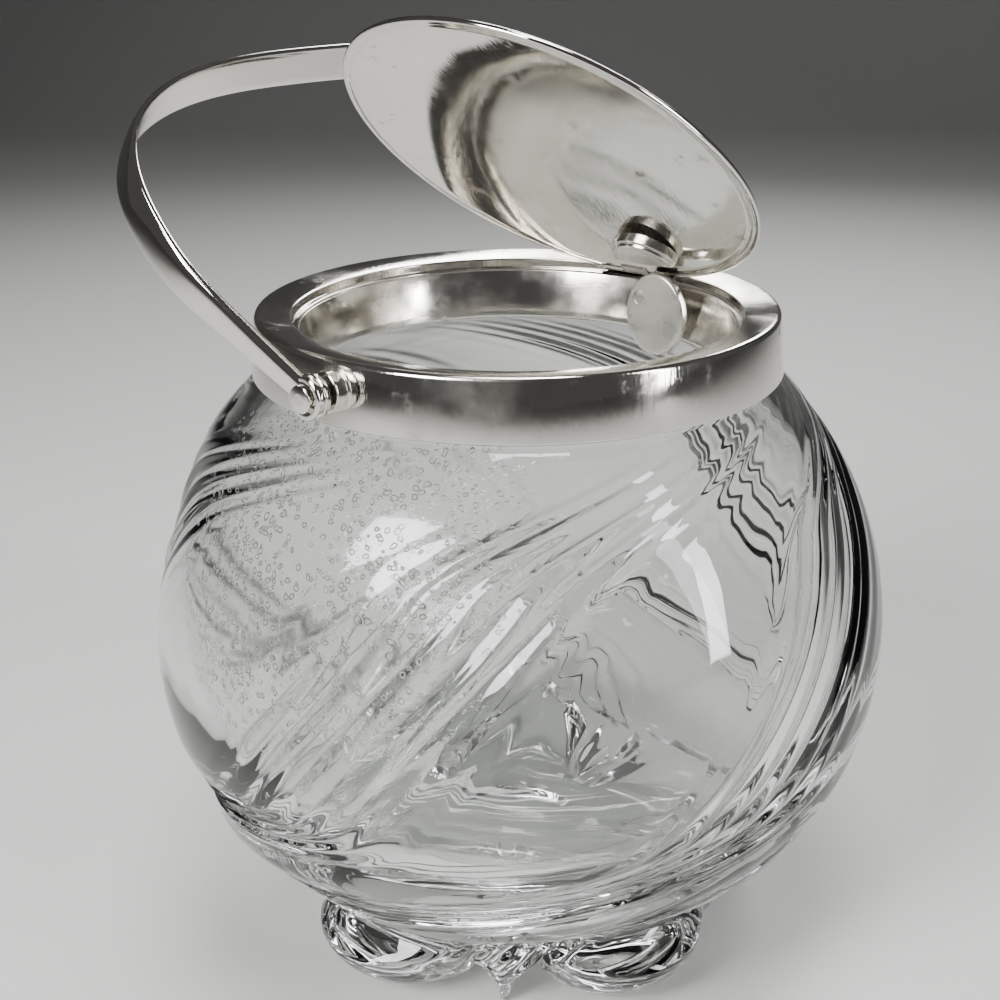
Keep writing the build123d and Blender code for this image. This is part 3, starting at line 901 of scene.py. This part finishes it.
@dataclass
class SwingHandle:
    """A strap bent to a squared arch, narrow at its eyelets and wide at its crown, and its spindle."""

    root_y: float = LAY.eye_y
    bend_y: float = 51.05
    bend_h: float = 23.3
    height: float = 60.6
    power: float = 2.83
    thick: float = 1.5
    root_more: float = 0.5       # how much thicker an arm is at its eyelet
    domed: float = 0.30          # share of the half thickness that the outer face falls to its edges
    root_h: float = -0.6
    root_w: float = 3.6
    crown_w: float = 7.5
    eye_r: float = 3.2
    eye_t: float = 2.4
    eye_sunk: float = 0.75       # how deep the dish round a pin's head is
    spindle_in: float = 28.8
    rows: int = 420
    around: int = 36

    def centre_line(self) -> tuple[Array, Array]:
        """The strap's inside line in the arch's plane, evenly spaced, with its outward normals.

        Two straight arms lean out from the eyelets; between them the crown is the squared arch
        (b |cos a|^(2/n), h0 + (h - h0) |sin a|^(2/n)). The join is eased by a running mean.

        Returns:
            Points and unit normals (y, h), each of shape (rows, 2).
        """
        a = np.linspace(0, pi, 1200)
        crown = np.stack([-self.bend_y * np.sign(np.cos(a)) * np.abs(np.cos(a)) ** (2 / self.power),
                          self.bend_h + (self.height - self.bend_h) * np.sin(a) ** (2 / self.power)], axis=-1)
        t = np.linspace(0, 1, 300)[:, None]
        arm = np.array([[-self.root_y, self.root_h]]) * (1 - t) + np.array([[-self.bend_y, self.bend_h]]) * t
        line = np.vstack([arm[:-1], crown, arm[::-1][1:] * np.array([[-1.0, 1.0]])])
        for _ in range(2):
            line = self.even(line, self.rows)
            kernel = np.ones(15) / 15
            padded = np.vstack([2 * line[0] - line[7:0:-1], line, 2 * line[-1] - line[-2:-9:-1]])
            line = np.stack([np.convolve(padded[:, k], kernel, "valid") for k in (0, 1)], axis=-1)
        line = self.even(line, self.rows)
        along = np.gradient(line, axis=0)
        along /= np.linalg.norm(along, axis=1)[:, None]
        return line, np.stack([-along[:, 1], along[:, 0]], axis=-1)

    @staticmethod
    def even(line: Array, count: int) -> Array:
        """Spaces a line's points evenly.

        Args:
            line: Points, shape (n, 2).
            count: How many points to put on it.

        Returns:
            The same line with that many points at equal distances along it.
        """
        run = np.concatenate([[0], np.cumsum(np.linalg.norm(np.diff(line, axis=0), axis=1))])
        want = np.linspace(0, run[-1], count)
        return np.stack([np.interp(want, run, line[:, k]) for k in (0, 1)], axis=-1)

    def strap_points(self) -> Array:
        """The strap: a flattened oval section carried along the arch.

        The section is (w/2 |cos v|^0.5, t/2 |sin v|^0.45) in all four quarters, its outer face falling to
        the edges by domed. Its width grows from root_w to crown_w along the arms and its thickness loses
        root_more.

        Returns:
            Shape (rows + 2, around, 3), the end rows closed to points.
        """
        line, normal = self.centre_line()
        height = line[:, 1] / self.height
        grow = smoothstep(-0.05, 0.80, height)[:, None]
        width = self.root_w + (self.crown_w - self.root_w) * grow
        thick = self.thick + self.root_more * (1 - grow)
        v = np.linspace(0, 2 * pi, self.around, endpoint=False)[None]
        side = np.sign(np.cos(v)) * np.abs(np.cos(v)) ** 0.5
        deep = np.sign(np.sin(v)) * np.abs(np.sin(v)) ** 0.45
        x = side * width / 2
        lift = thick / 2 * (1 + deep * (1.0 - np.where(deep > 0, self.domed * side ** 2, 0.0)))
        y = line[:, :1] + normal[:, :1] * lift
        h = line[:, 1:] + normal[:, 1:] * lift
        body = np.stack([x, y, h], axis=-1)
        first = np.broadcast_to(body[:1].mean(axis=1, keepdims=True), (1, self.around, 3))
        last = np.broadcast_to(body[-1:].mean(axis=1, keepdims=True), (1, self.around, 3))
        return np.concatenate([first, body, last])

    def build(self) -> None:
        """Makes the strap, its eyelets and the spindle."""
        strap = grid_piece("handle_strap", self.strap_points(), False, True, sharp=50.0,
                           place=LAY.handle_turn())
        fit(strap, Body.HANDLE, STRAP, ("handle",))
        face = self.root_y + self.eye_t
        groove = self.root_y + 1.0
        for side, sign, bore in (("front", -1, LAY.pin_r + LAY.pin_gap), ("rear", 1, LAY.pin_r)):
            eye = rounded([(bore, self.root_y, 0.15), (self.eye_r, self.root_y, 0.3),
                           (self.eye_r, groove - 0.15, 0.2), (self.eye_r - 0.22, groove, 0.08),
                           (self.eye_r, groove + 0.15, 0.2), (self.eye_r, face, 0.45),
                           (self.eye_r - 0.8, face, 0.12), (self.eye_r - 0.9, face - self.eye_sunk, 0.1),
                           (bore, face - self.eye_sunk, 0.1)])
            fit(lathe(f"handle_{side}_eyelet", eye, 120, place=outward(sign)), Body.HANDLE, STRAP)
        head = face + LAY.pin_head_t
        spindle = rounded([(0, self.spindle_in, 0), (LAY.pin_r, self.spindle_in, 0.1),
                           (LAY.pin_r, face - 0.2, 0), (LAY.pin_head_r, face - 0.2, 0.1),
                           (LAY.pin_head_r, head - 0.12, 0.2), (0.9, head, 0.4), (0, head + 0.1, 0)],
                          closed=False)
        fit(lathe("handle_spindle", spindle, 72, ring=False, place=outward(1)), Body.HANDLE, DRAWN,
            ("spindle",))


@dataclass
class EccentricDisc:
    """The oval plate on the spindle's inner end, fixed off its centre: it rises as the handle falls."""

    half_w: float = 5.85
    half_h: float = 7.05
    throw: float = 4.25
    face: float = 28.587
    thick: float = 1.6
    dimple_r: float = LAY.pin_r  # the spindle's end shows as a dimple
    dimple: float = 0.22
    hub_r: float = 2.4
    hub_end: float = 31.97
    bevel: float = 0.38
    back_bevel: float = 0.25
    unevenness: float = 0.035
    around: int = 240

    def outline(self, a: Array) -> Array:
        """How far the edge is from the spindle in each direction a.

        The ray s (cos a, sin a) meets the ellipse about (u, v) with half sizes w and h where
        A s^2 - 2 B s + C = 0, A = cos^2 a / w^2 + sin^2 a / h^2, B = u cos a / w^2 + v sin a / h^2 and
        C = u^2 / w^2 + v^2 / h^2 - 1.

        Args:
            a: Directions round the spindle, in radians.

        Returns:
            A distance for each direction.
        """
        u = self.throw * sin(radians(LAY.lean))
        v = -self.throw * cos(radians(LAY.lean))
        ca, sa = np.cos(a), np.sin(a)
        square = (ca / self.half_w) ** 2 + (sa / self.half_h) ** 2
        straight = u * ca / self.half_w ** 2 + v * sa / self.half_h ** 2
        rest = (u / self.half_w) ** 2 + (v / self.half_h) ** 2 - 1
        return (straight + np.sqrt(straight ** 2 - square * rest)) / square

    def points(self) -> Array:
        """Rings of the disc about the spindle, from the dimple over the face and edge and back to the hub.

        Each ring is a share of the outline's distance, less a bevel at the two edges. The face is a little
        uneven, as sin(0.9 r + 2 a).

        Returns:
            Shape (rings, around, 3), +Z looking from the face along the pivots' line to the bowl's middle.
        """
        a = np.linspace(0, 2 * pi, self.around, endpoint=False)[None]
        edge = self.outline(a)
        flat = np.ones_like(a)
        dip = [(0.0, -self.dimple), (0.8, -self.dimple), (0.97, -self.dimple), (1.0, -0.5 * self.dimple),
               (1.04, 0.0)]
        rows = [(self.dimple_r * s * flat, h) for s, h in dip]
        start = self.dimple_r * dip[-1][0]
        rim = edge - self.bevel
        rows += [(start + (rim - start) * t, 0.0) for t in (0.25, 0.5, 0.75, 0.9, 1.0)]
        rows += [(rim + self.bevel * sin(b), -self.bevel * (1 - cos(b))) for b in (0.35, 0.8, 1.25, pi / 2)]
        back = -self.thick
        rows += [(edge - self.back_bevel * (1 - cos(b)), back + self.back_bevel * (1 - sin(b)))
                 for b in (0.0, 0.8, pi / 2)]
        rows += [(self.hub_r + (edge - self.back_bevel - self.hub_r) * t, back) for t in (0.6, 0.2, 0.0)]
        hub_h = self.face - self.hub_end
        rows += [(radius * flat, hub_h) for radius in (self.hub_r, self.dimple_r, 0.0)]
        r = np.vstack([row[0] for row in rows])
        h = np.vstack([row[1] * flat for row in rows])
        wave = self.unevenness * np.sin(r * 0.9 + 2.0 * a) * (h > -0.05)
        return np.stack([r * np.cos(a), r * np.sin(a), h + wave], axis=-1)

    def build(self) -> None:
        """Makes the disc, drawn at rest."""
        face = Matrix.Translation((0, self.face * MM, 0)) @ Matrix.Rotation(radians(90), 4, "X")
        place = LAY.pivot_frame() @ face
        disc = grid_piece("eccentric_lift_disc", self.points(), False, True, sharp=40.0, place=place)
        fit(disc, Body.HANDLE, DULLED, ("eccentric_disc",))


# ---------------------------------------------------------------- the lid

@dataclass
class Cover:
    """Shallow domed lid with a turned edge, notched for its hinge, and its lift lug. Drawn shut."""

    radius: float = 35.0
    edge_w: float = 1.2
    edge_low: float = 106.05
    edge_top: float = 107.0
    rise: float = 3.2
    sheet: float = 0.8
    notch_y: float = 33.3
    notch_half: float = 6.95
    lug_x: float = 5.2
    lug_y: float = 27.6
    lug_r: float = 5.6
    lug_flange: float = 6.2
    lug_cut: float = 27.4
    lug_h: float = 1.35
    lug_flange_t: float = 0.7
    segments: int = 320

    def under(self, r: Array) -> Array:
        """Height of the dome's underside at radius r: low edge plus rise (1 - (r/R)^2)."""
        return self.edge_low + 0.1 + self.rise * (1 - (r / (self.radius - self.edge_w)) ** 2)

    def build(self) -> None:
        """Makes the lid and its lug and dresses the hinge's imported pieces."""
        inner = self.radius - self.edge_w
        r = np.linspace(0, 1, 40) * (inner - 0.3)
        top = np.stack([r, self.under(r) + self.sheet], axis=-1)
        edge = rounded([(inner, self.edge_top - 0.12, 0.2), (inner + 0.35, self.edge_top, 0.2),
                        (self.radius, self.edge_top, 0.38), (self.radius, self.edge_low, 0.38),
                        (inner + 0.1, self.edge_low, 0.25)], steps=5)
        bottom = np.stack([r, self.under(r)], axis=-1)[::-1]
        points = lathe_points(np.vstack([top, edge, bottom]), self.segments)
        x, y = points[..., 0], points[..., 1]
        cut = (np.abs(x) < self.notch_half) & (y > self.notch_y)
        points = np.stack([x, np.where(cut, self.notch_y, y), points[..., 2]], axis=-1)
        lid = grid_piece("domed_lid", points, False, True, sharp=40.0, place=LAY.lid_turn())
        fit(lid, Body.COVER, LID_SHEET, ("lid", "lid_edge"))

        seat = self.edge_low
        flange, face = seat - self.lug_flange_t, seat - self.lug_h
        lug = rounded([(0, seat + 1.5, 0), (self.lug_flange, seat + 0.9, 0), (self.lug_flange, flange, 0.25),
                       (self.lug_r, flange - 0.05, 0.1), (self.lug_r, face, 0.7),
                       (self.lug_r - 1.2, face - 0.05, 0.3), (0, face - 0.25, 0)], closed=False, steps=6)
        points = lathe_points(lug, 200)
        y = np.minimum(points[..., 1], self.lug_cut - self.lug_y)
        points = np.stack([points[..., 0] + self.lug_x, y + self.lug_y, points[..., 2]], axis=-1)
        lug_piece = grid_piece("lift_lug", points, False, True, sharp=40.0, place=LAY.lid_turn())
        fit(lug_piece, Body.COVER, CAST, ("lid_lug",))
        for name in ("lid_knuckle", "hinge_bracket"):
            dress(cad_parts[name], CAST)
        dress(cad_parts["hinge_pin"], DRAWN)


# ---------------------------------------------------------------- the studio

@dataclass(frozen=True)
class SoftBox:
    """A rectangular light aimed at the bowl.

    Its azimuth is in degrees round from the camera, positive to its right, its elevation in degrees above
    the floor, away and its size in metres and its power in watts.
    """

    name: str
    azimuth: float
    elevation: float
    away: float
    size: tuple[float, float]
    power: float


BOXES = (
    SoftBox("window_box", -42, 34, 0.85, (0.34, 0.34), 3.2),
    SoftBox("right_box", 60, 20, 0.8, (0.10, 0.6), 1.3),
    SoftBox("top_box", 10, 80, 0.9, (0.34, 0.26), 1.6),
    SoftBox("back_box", 165, 32, 1.0, (0.5, 0.35), 2.2),
)


@dataclass
class Studio:
    """A pale floor that sweeps up behind, soft boxes and the camera. The floor's sizes are in metres."""

    distance: float = 5.815      # from the collar's top, in collar radii
    elevation: float = 13.85
    azimuth: float = 38.05
    pitch: float = 21.39
    yaw: float = -0.73
    roll: float = -0.44
    lens: float = 54.0
    spread: float = 90.0         # degrees; narrow, so the far floor stays dim and silver has dark to mirror
    aim_z: float = 0.06
    floor_near: float = 1.2
    floor_far: float = 1.0
    bend: float = 0.6
    wall_top: float = 2.2
    half_width: float = 2.2
    floor_gap: float = 0.0002
    floor_colour: str = "BDBDBB"
    air_colour: str = "BDBDBE"
    air_strength: float = 0.13

    def floor(self) -> None:
        """The sweep: flat out to floor_far, then a quarter round up to a wall, turned to face the camera."""
        flat = np.linspace(-self.floor_near, self.floor_far, 12)
        bend = np.linspace(0, pi / 2, 16)[1:]
        far = np.concatenate([flat, self.floor_far + self.bend * np.sin(bend), [self.floor_far + self.bend]])
        up = np.concatenate([0.0 * flat, self.bend * (1 - np.cos(bend)), [self.wall_top]])
        side = np.linspace(-self.half_width, self.half_width, 9)
        x = np.broadcast_to(side, (len(far), len(side)))
        y = np.broadcast_to(far[:, None], x.shape)
        z = np.broadcast_to(up[:, None] - self.floor_gap, x.shape)
        turn = Matrix.Rotation(radians(self.azimuth), 4, "Z")
        sweep = grid_piece("studio_floor", np.stack([x, y, z], axis=-1) / MM, False, False, place=turn)
        made, tree, _ = start_material("matt_white_paper_sweep")
        end_material(tree, Base_Color=linear(self.floor_colour), Roughness=0.85)
        sweep.data.materials.append(made)

    def light(self, box: SoftBox) -> None:
        """Hangs one soft box.

        Args:
            box: The light's name, place, size and power.
        """
        made = bpy.data.lights.new(box.name, "AREA")
        made.shape = "RECTANGLE"
        made.size, made.size_y = box.size
        made.energy = box.power
        made.spread = radians(self.spread)
        obj = bpy.data.objects.new(box.name, made)
        a = radians(self.azimuth + box.azimuth - 90)
        e = radians(box.elevation)
        target = Vector((0, 0, self.aim_z))
        obj.location = target + box.away * Vector((cos(e) * cos(a), cos(e) * sin(a), sin(e)))
        obj.rotation_euler = (target - obj.location).to_track_quat("-Z", "Y").to_euler()
        bpy.context.scene.collection.objects.link(obj)

    def camera(self) -> None:
        """The camera, turned by pitch, yaw and roll from a level look at the bowl's axis."""
        p, e, q = radians(self.azimuth), radians(self.elevation), radians(self.pitch)
        reach = self.distance * LAY.collar_r * MM
        place = Vector((sin(p) * cos(e), -cos(p) * cos(e), sin(e))) * reach
        place.z += LAY.top_z * MM
        heading = p - radians(self.yaw)
        ahead = Vector((-sin(heading) * cos(q), cos(heading) * cos(q), -sin(q)))
        right = Vector((cos(heading), sin(heading), 0))
        up = right.cross(ahead)
        w = radians(self.roll)
        right, up = right * cos(w) + up * sin(w), up * cos(w) - right * sin(w)
        data = bpy.data.cameras.new("studio_camera")
        data.lens = self.lens
        data.sensor_width = 36.0
        data.clip_start = 0.01
        obj = bpy.data.objects.new("studio_camera", data)
        turn = Matrix((right, up, -ahead)).transposed().to_4x4()
        obj.matrix_world = Matrix.Translation(place) @ turn
        bpy.context.scene.collection.objects.link(obj)
        bpy.context.scene.camera = obj

    def world(self) -> None:
        """Even pale light from all round."""
        made = bpy.data.worlds.new("studio_air")
        bpy.context.scene.world = made
        made.use_nodes = True
        back = made.node_tree.nodes["Background"]
        back.inputs["Color"].default_value = linear(self.air_colour)
        back.inputs["Strength"].default_value = self.air_strength

    def build(self) -> None:
        """Sets up the whole studio."""
        self.floor()
        self.camera()
        self.world()
        for box in BOXES:
            self.light(box)


def main() -> None:
    """Builds the bowl from its foot up, then the studio."""
    logging.basicConfig(level=logging.INFO, format="%(message)s")
    GlassBowl().build()
    Collar().build()
    Pivots().build()
    SwingHandle().build()
    EccentricDisc().build()
    Cover().build()
    Studio().build()


if __name__ == "__main__":
    main()
